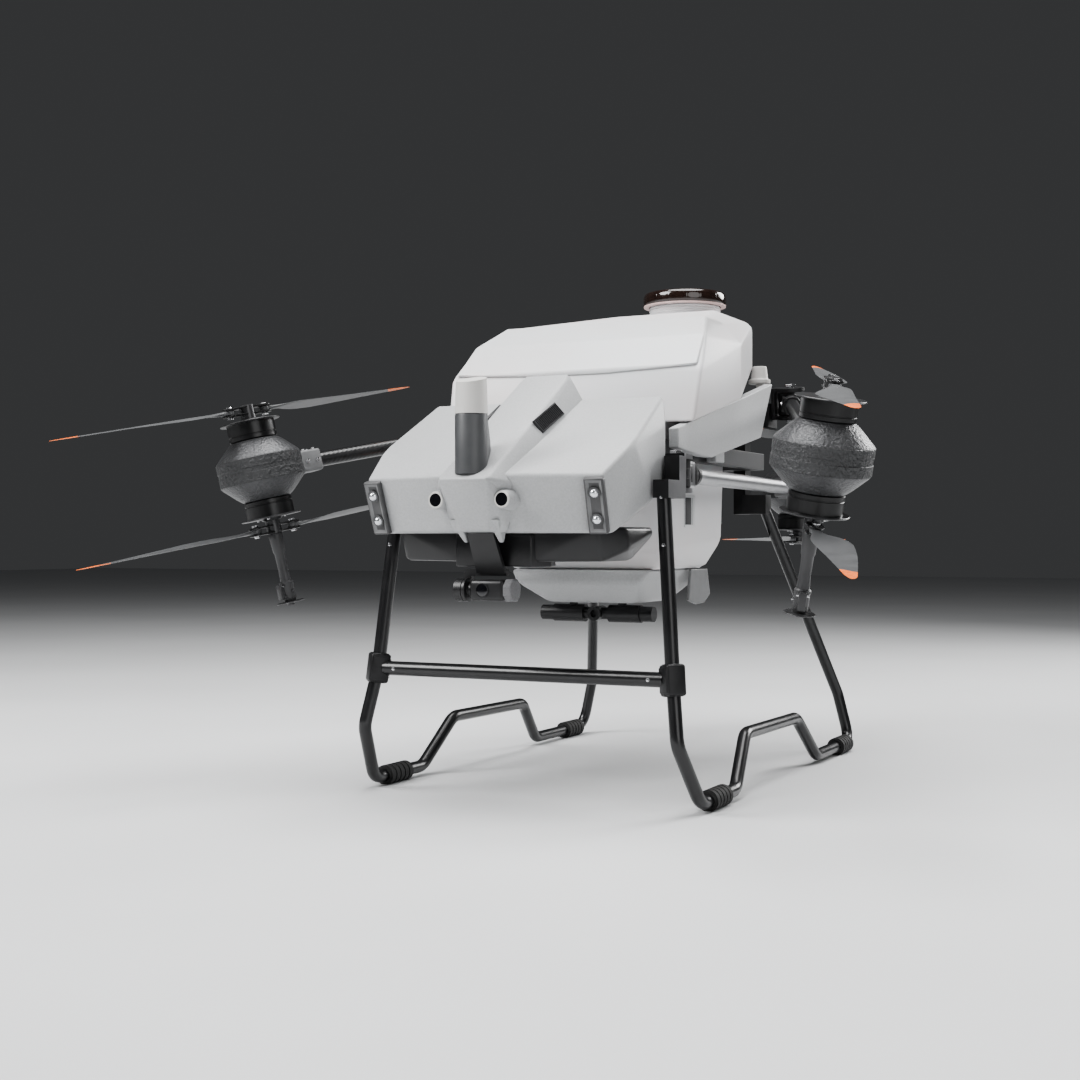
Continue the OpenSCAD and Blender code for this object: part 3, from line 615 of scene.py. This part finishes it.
for side in ("left", "right"):
    at = pod_frame("rear_" + side)
    t = ROD_TOP
    bm = turned([(0, t), (11, t), (12, t - 2), (11, t - 10), (10, t - 30), (8.6, t - 33), (8.2, t - 58),
        (9.4, t - 78),
                 (12, t - 80), (12, t - 84), (11, t - 86), (11, t - 106), (9, t - 111.5), (0, t - 111.5)], 48)
    merge(bm, block((9, 11, 26), (13.5, 0, DISC_Z + 18), bevel=1.5), 0)
    merge(bm, block((6, 16, 4), (10, 0, DISC_Z + 8), bevel=1), 0)
    merge(bm, drum(2.2, 18, along((13, -9, DISC_Z + 26), (13, 9, DISC_Z + 26)), 20), 1)
    merge(bm, drum(1.8, 3, along((0, -11, t - 95), (0, -14, t - 95)), 16), 1)
    settle(bm, "nozzle_stem_" + side, [nozzle_grey, bright_steel], "arm_rear_" + side,
        "nozzle_rod_" + side, smooth=35, at=at)
    d = DISC_Z - 2
    bm = turned([(0, d + 2), (16, d + 2), (22, d + 1.4), (23, d + 0.9), (23, d + 0.5), (22, d),
        (8, d - 0.5), (6, d - 1.5), (5.5, d - 4), (0, d - 4)], 72)
    for i in range(24):
        a = 2 * math.pi * i / 24
        merge(bm, block((9, 0.7, 0.6), turn=Matrix.Rotation(a, 4,
            "Z") @ Matrix.Translation((16.5, 0, d + 1.9))), 0)
    settle(bm, "spray_disc_blade_" + side, nozzle_grey, "spray_disc_" + side, "spray_disc_" + side,
        smooth=35, at=at)

# ---------------------------------------------------------------- tank


def deck(y):
    return 560 + (y + 296) * math.tan(math.radians(13.3))


tank_top = both_sides([
    (216, -262, deck(-262) + 3), (220, -240, 655), (206, -186, 712), (180, -118, 751),
    (220, -60, deck(-60) + 3),
    (220, -60, 711), (186, -50, 748), (130, 176, deck(176) + 3), (130, 176, 770), (100, 344, deck(344) + 3),
    (100, 344, 790), (96, 344, 802), (96, 150, 802)])
# the upper skin stands a little proud and ends in a step across the front
tank_brow = both_sides([
    (211, -240.8, 661), (204, -188, 713.5), (180, -119.5, 752.3), (60, -242.3, 652.5), (186, -50, 749),
    (60, -190, 651), (186, -60, 690), (211, -190, 661)])
tank_well = both_sides([
    (150, -216, deck(-216) + 30), (150, -206, 372), (128, -200, 344), (150, 66, deck(66) + 30),
    (150, 40, 390), (128, 16, 344)])
bm = wrapped(tank_top, 8, 4)
merge(bm, wrapped(tank_brow, 3, 3))
merge(bm, wrapped(tank_well, 8, 4))
threads = [(0, 790), (65.5, 790)]
for i in range(4):
    z = 806 + i * 5
    threads += [(64.5, z), (66, z + 1.4), (66, z + 2.4), (64.5, z + 3.6)]
threads += [(64.5, 829.5), (58, 829.8), (0, 829.8)]
merge(bm, turned(threads, 96, Matrix.Translation((0, 250, 0))))
merge(bm, turned([(0, 798), (82, 798), (80, 801), (72, 804.5), (66, 806), (0, 806)], 96,
    Matrix.Translation((0, 250, 0))))
settle(bm, "tank_moulding", tank_white, "airframe", "tank", smooth=28)

cap = turned([(0, 833), (67, 833), (67, 826), (70, 825.2), (73, 826), (76, 829.5), (77, 834), (77, 843),
    (75.6, 848), (72.5, 850.6),
              (68, 851), (63, 849.5), (61.5, 846.5), (0, 846.5)], 96, Matrix.Translation((0, 250, 0)))
merge(cap, block((112, 9, 4), (0, 250, 848.2), bevel=1.4), 0)
merge(cap, turned([(67, 825), (76.2, 825.5), (76.6, 828), (67, 828)], 96, Matrix.Translation((0, 250, 0))), 1)
for i in range(16):
    a = 2 * math.pi * i / 16
    merge(cap, block((1.2, 6, 10), (0, 0, 0), turn=Matrix.Translation((0, 250, 838.5)) @ Matrix.Rotation(a,
        4, "Z") @ Matrix.Translation((76.4, 0, 0)), bevel=0.4), 0)
settle(cap, "filler_cap_moulding", [cap_brown, gasket_pink], "fill_cap", "fill_cap", smooth=35)

# ---------------------------------------------------------------- nose

wing_points = both_sides([
    (190, -540, 481), (192, -512, 401), (206, -469, 528), (206, -400, 450), (206, -352, 466),
    (206, -352, 560),
    (194, -328, 606), (80, -328, 594), (60, -562, 483), (60, -536, 402), (120, -352, 402),
    (194, -328, 536), (80, -328, 470)])
nose = wrapped(wing_points, 6, 4)
merge(nose, wrapped(both_sides([(39, -592, 477), (38, -327, 646), (66, -550, 470), (72, -327, 588),
    (39, -560, 440)]), 4, 3))
merge(nose, wrapped(both_sides([(39, -592, 477), (22, -555, 404), (56, -540, 440), (44, -540, 402),
    (39, -540, 500)]), 2.5, 3))
for s in (-1, 1):
    merge(nose, wrapped([(x * s, y, z) for x, y, z in (
        (22, -562, 420), (40, -562, 420), (24, -530, 420), (40, -530, 420), (26, -532, 388),
        (31, -532, 388), (26, -526, 388), (31, -526, 388))], 1.5, 2))
    merge(nose, turned([(0, 0), (10, 0), (12.2, 1), (13, 3), (13, 5), (15.5, 26), (0, 26)], 48,
                       Matrix.Translation((53 * s, -574, 448)) @ Matrix.Rotation(-math.pi / 2, 4, "X")))
    merge(nose, turned([(9.4, 0), (11.2, 0), (11.8, 0.7), (11.8, 3), (9.4, 3)], 48,
                       Matrix.Translation((53 * s, -575.8, 448)) @ Matrix.Rotation(-math.pi / 2, 4, "X")), 1)
for s in (-1, 1):
    # an air grille on each flank of the spine
    out_from = Vector((0.829, -0.279, 0.486)).normalized()
    way = Vector((4, 63, 32))
    way = (way - out_from * way.dot(out_from)).normalized()
    grille_at = Matrix.Translation((49.8, -423, 571.4)) @ Matrix((way, out_from.cross(way),
        out_from)).transposed().to_4x4()
    grille = block((72, 23, 3), (0, 0, -0.6), bevel=0.6)
    for i in range(15):
        merge(grille, block((1.6, 18, 1.6), ((i - 7) * 4.3, 0, 1.2), turn=Matrix.Rotation(0.5, 4, "Y"),
            bevel=0.3))
    for v in (-10.4, 10.4):
        merge(grille, block((71, 2, 1.6), (0, v, 1.2), bevel=0.4))
    for v in (-34.6, 34.6):
        merge(grille, block((2, 22, 1.6), (v, 0, 1.2), bevel=0.4))
    bmesh.ops.transform(grille, matrix=grille_at, verts=grille.verts)
    if s < 0:
        bmesh.ops.transform(grille, matrix=mirror_x, verts=grille.verts)
    merge(nose, grille, 2)
settle(nose, "nose_moulding", [shell_grey, radome_white, grille_dark], "airframe", "nose_shell", smooth=30)

for s, side in ((-1, "left"), (1, "right")):
    eye = turned([(0, 0), (9.4, 0), (9.4, 5), (0, 5)], 40, Matrix.Translation((53 * s, -575.2,
        448)) @ Matrix.Rotation(-math.pi / 2, 4, "X"))
    lamp_at = Matrix.Translation((177, -528, 440)) @ turn(19, 0, 6)
    if s < 0:
        lamp_at = mirror_x @ lamp_at
    for v in (-19, 19):
        dome = bmesh.new()
        bmesh.ops.create_uvsphere(dome, u_segments=32, v_segments=16, radius=6.8)
        bmesh.ops.transform(dome, matrix=lamp_at @ Matrix.Translation((0, -7.2, v)), verts=dome.verts)
        merge(eye, dome, 1)
    settle(eye, "lamp_and_sensor_lens_" + side, [lens_dark, lens_glass], "airframe", smooth=60)
    plate = block((29, 11, 81), (0, -3, 0), bevel=3, segments=3)
    front = min(plate.faces, key=lambda f: f.calc_center_median().y)
    for f in bmesh.ops.inset_region(plate, faces=[front], thickness=4.2, use_even_offset=True)["faces"]:
        f.material_index = 1
    bmesh.ops.translate(plate, vec=(0, 2.4, 0), verts=front.verts)
    for v in (-19, 19):
        merge(plate, turned([(6.9, 0), (8.6, 0), (9, 1), (9, 2.4), (6.9, 2.4)], 40,
            Matrix.Translation((0, -6.6, v)) @ Matrix.Rotation(math.pi / 2, 4, "X")), 0)
    settle(plate, "lamp_frame_" + side, [lamp_grey, guard_grey], "airframe", "lamp_housings", smooth=35,
        at=lamp_at)
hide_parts("clear_lenses")

mast = turned([(0, 484), (23.2, 484), (23.2, 566), (22.4, 568), (0, 568)], 72)
merge(mast, turned([(0, 568.3), (23.2, 568.3), (22.6, 590), (21.5, 624), (0, 624)], 72), 1)
foot = [Vector((23.2 * math.cos(i * math.pi / 18), 23.2 * math.sin(i * math.pi / 18),
    z)) for i in range(36) for z in (500, 560)]
foot += [Vector((9 * i, y, z)) for i in (-1, 0, 1) for y, z in ((46 - 5 * i * i, 516),
    (44 - 5 * i * i, 534), (34 - 3 * i * i, 556))]
merge(mast, wrapped(foot, 1.5, 2), 0)
bmesh.ops.bisect_plane(mast, geom=mast.verts[:] + mast.edges[:] + mast.faces[:], plane_co=(0, 0, 617),
                       plane_no=turn(14, 0, 0).to_3x3() @ Vector((0, 0, 1)), clear_outer=True)
bmesh.ops.holes_fill(mast, edges=[e for e in mast.edges if e.is_boundary])
for f in mast.faces:
    if f.calc_center_median().z > 569:
        f.material_index = 1
settle(mast, "mast_radome", [mast_grey, radome_white], "airframe", "mast", bevel=1.2, segments=2, smooth=40,
       at=Matrix.Translation((0, -566, 0)))

tray = wrapped(both_sides([(160, -493, 410), (161, -477, 361), (188, -440, 378), (186, -452, 410),
    (186, -352, 398), (62, -495, 360),
                           (62, -496, 398), (150, -352, 361), (188, -352, 410)]), 5, 3)
merge(tray, wrapped(both_sides([(61, -502, 353), (61, -503, 400), (78, -470, 353), (78, -470, 400),
    (61, -420, 353)]), 2.5, 3))
settle(tray, "nose_tray_moulding", tray_black, "airframe", "nose_tray", smooth=40)

flank = bmesh.new()
for s in (-1, 1):
    merge(flank, block((1.6, 46, 52), (150.4 * s, -112, 438), bevel=0.7), 0)
    # the slot opening is a flat dark panel of painted shade
    merge(flank, block((2.2, 26, 44), (150.4 * s, -120, 438), bevel=0.7), 1)
    merge(flank, block((2.4, 7, 44), (150.4 * s, -102, 438), bevel=0.7), 2)
settle(flank, "flank_slots", [tank_white, slot_painted_shade, shell_grey], "airframe", smooth=35)

sump = wrapped(both_sides([(124, -214, 343.7), (124, 4, 343.7), (110, -222, 322), (110, 0, 318),
    (78, -168, 289), (78, -20, 289)]), 7, 3)
settle(sump, "sump_moulding", shell_grey, "airframe", "sump", smooth=40)

# ---------------------------------------------------------------- landing gear

foot_x, foot_y, foot_z = 275, 390, 15
clamp_at = Vector((246, -423, 193))
leg_top = Vector((222, -399, 466))
skid_path = [
    clamp_at + Vector((0.5, -0.5, -4)), (foot_x - 15, -foot_y - 51, 103), (foot_x, -foot_y, foot_z),
    (foot_x, -243, foot_z), (foot_x - 13, -162, 90), (foot_x - 12, 97, 88), (foot_x, 173, foot_z),
    (foot_x, foot_y, foot_z), (foot_x - 21, foot_y - 5, 103), (163, 205, 466)]
skid = mirrored(bent_tube(skid_path, 10, 34))
settle(skid, "skid_tubes", tube_black, "airframe", "skids", smooth=40)

up = (leg_top - clamp_at).normalized()
legs = mirrored(bent_tube([clamp_at + up * 13, leg_top], 10.5, 1, 32, 1))
merge(legs, bent_tube([(-233, -423, 193), (233, -423, 193)], 11, 1, 32, 1))
for s in (-1, 1):
    for f in (0.70, 0.95):
        p = clamp_at.lerp(leg_top, f)
        merge(legs, hex_bolt(2.4, 2.0, along((p.x * s, p.y - 10, p.z), (p.x * s, p.y - 30, p.z))), 1)
    merge(legs, hex_bolt(2.2, 2.0, along((212 * s, -433.6, 193), (212 * s, -450, 193))), 1)
settle(legs, "front_leg_tubes", [tube_black, bright_steel], "airframe", "front_legs", smooth=40)

clamps = bmesh.new()
for s in (-1, 1):
    grip = block((29, 31, 45), bevel=4, segments=3)
    merge(grip, turned([(0, -23), (13.5, -23), (14.5, -22), (14.5, 22), (13.5, 23), (0, 23)], 48), 0)
    merge(grip, block((3, 26, 36), (14.4, 0, 0), bevel=1), 0)
    for z in (-12, 12):
        merge(grip, hex_bolt(2.8, 2.4, along((-7, -15, z), (-7, -40, z))), 1)
        merge(grip, hex_bolt(2.8, 2.4, along((7, -15, z), (7, -40, z))), 1)
    bmesh.ops.transform(grip, matrix=along(clamp_at, leg_top), verts=grip.verts)
    if s < 0:
        bmesh.ops.transform(grip, matrix=mirror_x, verts=grip.verts)
    merge(clamps, grip)
settle(clamps, "leg_clamp_blocks", [forged_black, bright_steel], "airframe", "leg_clamps", smooth=35)

refined("skid_pads", pad_rubber, 1.2, 2)

# ---------------------------------------------------------------- camera, pumps and the rest

refined("camera_bracket", satin_black, 1.0)
# a tilting camera: a collar, a rounded body with its lens ring, and a speckled end cap
cam_at = Vector((0, -520, 320))
sideways = Matrix.Translation(cam_at) @ Matrix.Rotation(math.pi / 2, 4, "Y")
head = turned([(11, -34.2), (17, -34.2), (17.4, -33.6), (17.4, -29.4), (16.6, -28.6), (10.5, -28),
    (10.5, -22), (0, -22)], 48, sideways)
merge(head, turned([(11, -34.2), (4.6, -34.2), (4.6, -22), (0, -22)], 48, sideways))
merge(head, block((56, 30, 30), cam_at + Vector((6, 0, 0)), bevel=6, segments=4))
merge(head, turned([(9, 0), (10.6, 0), (10.6, 1.6), (9, 1.6)], 40,
    Matrix.Translation(cam_at + Vector((0, -16.4, 0))) @ Matrix.Rotation(-math.pi / 2, 4, "X")))
merge(head, turned([(0, 33), (15.8, 33), (17.3, 34.4), (17.3, 44.6), (15.6, 46.8), (0, 46.8)], 8,
    sideways @ Matrix.Rotation(math.pi / 8, 4, "Z")), 1)
settle(head, "camera_housing", [satin_black, speckled_grey], "camera_head", "camera_head", bevel=0.5,
    smooth=35)
refined("pumps", satin_black, 1.4, 3)
refined("battery", frame_grey, 3, 3)
refined("antennas", radome_white, 1.6, 3)
refined("centre_frame", frame_grey, 1.5)
refined("side_beams", shell_grey, 2, 3)
refined("rear_frame", forged_black, 1.5)
forks = refined("arm_hinges", [forged_black, brushed_silver], 1.0)
for f in forks.data.polygons:
    if abs(f.center.x) > 0.216 and f.center.y < -0.2 and abs(f.normal.x) > 0.8:
        f.material_index = 1
refined("sump_guard", guard_grey, 1.2)
refined("hinge_pins", bright_steel, 0.8)
eye = turned([(0, 0), (6, -0.6), (8.8, 0), (8.8, 1.6), (0, 1.6)], 48,
    Matrix.Translation(cam_at + Vector((0, -15.9, 0))) @ Matrix.Rotation(-math.pi / 2, 4, "X"))
settle(eye, "camera_eye", lens_dark, "camera_head", "camera_lens", smooth=50)
